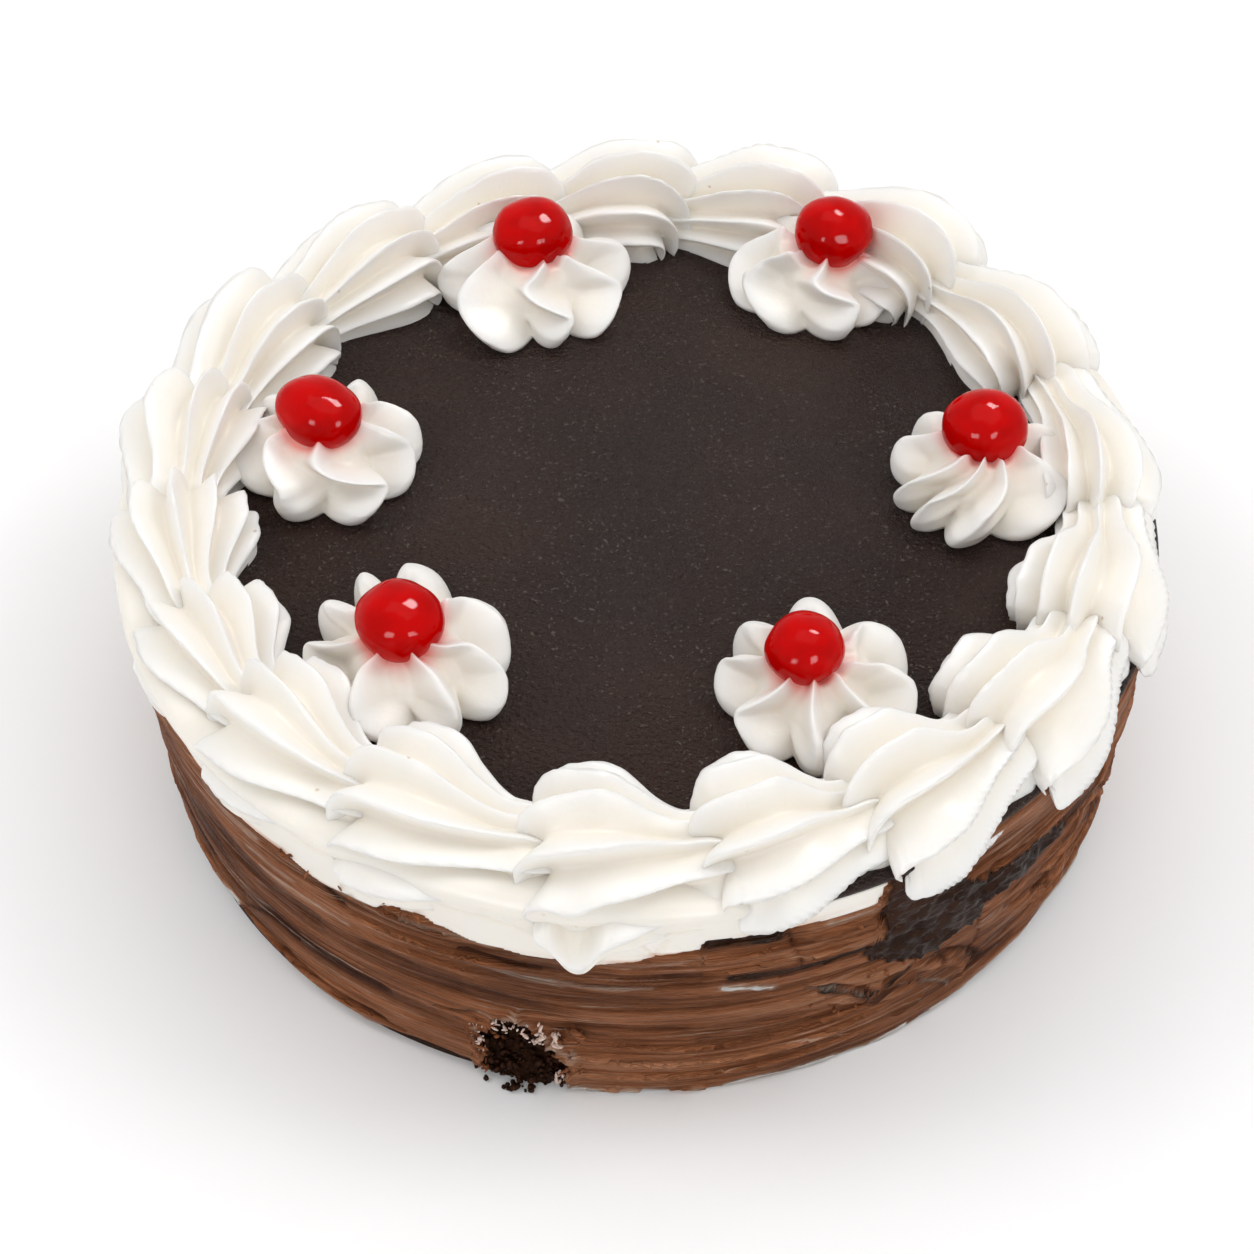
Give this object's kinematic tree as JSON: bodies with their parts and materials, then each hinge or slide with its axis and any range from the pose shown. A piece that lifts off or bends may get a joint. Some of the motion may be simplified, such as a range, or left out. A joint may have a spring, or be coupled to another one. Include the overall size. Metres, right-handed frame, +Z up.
{
  "type": "chocolate cake",
  "caption": "Round chocolate cake with a dark glazed top, spread chocolate frosting on the side, a border of piped cream shells and cream rosettes topped with cherries.",
  "frame": {"origin": "centre of the base, on the surface it stands on", "axes": "+Z up; -Y towards the front, where the foot has a torn hollow; +X to the right seen from the front"},
  "size_m": [0.2435, 0.2491, 0.095],
  "materials": {
    "sponge": "rough, porous",
    "chocolate_frosting": "smooth spread, soft sheen",
    "cream": "soft matt",
    "glaze": "satin, fine grain",
    "cherry": "wet gloss"
  },
  "bodies": {
    "root": {"sponge": "sponge", "side_frosting": "chocolate_frosting", "cream_layer": "cream", "top_glaze": "glaze", "rosette_1": "cream", "rosette_2": "cream", "rosette_3": "cream", "rosette_4": "cream", "rosette_5": "cream", "rosette_6": "cream", "cherry_1": "cherry", "cherry_2": "cherry", "cherry_3": "cherry", "cherry_4": "cherry", "cherry_5": "cherry", "cherry_6": "cherry", "shell_01": "cream", "shell_02": "cream", "shell_03": "cream", "shell_04": "cream", "shell_05": "cream", "shell_06": "cream", "shell_07": "cream", "shell_08": "cream", "shell_09": "cream", "shell_10": "cream", "shell_11": "cream", "shell_12": "cream", "shell_13": "cream", "shell_14": "cream", "shell_15": "cream", "shell_16": "cream", "shell_17": "cream", "shell_18": "cream"}
  },
  "joints": []
}
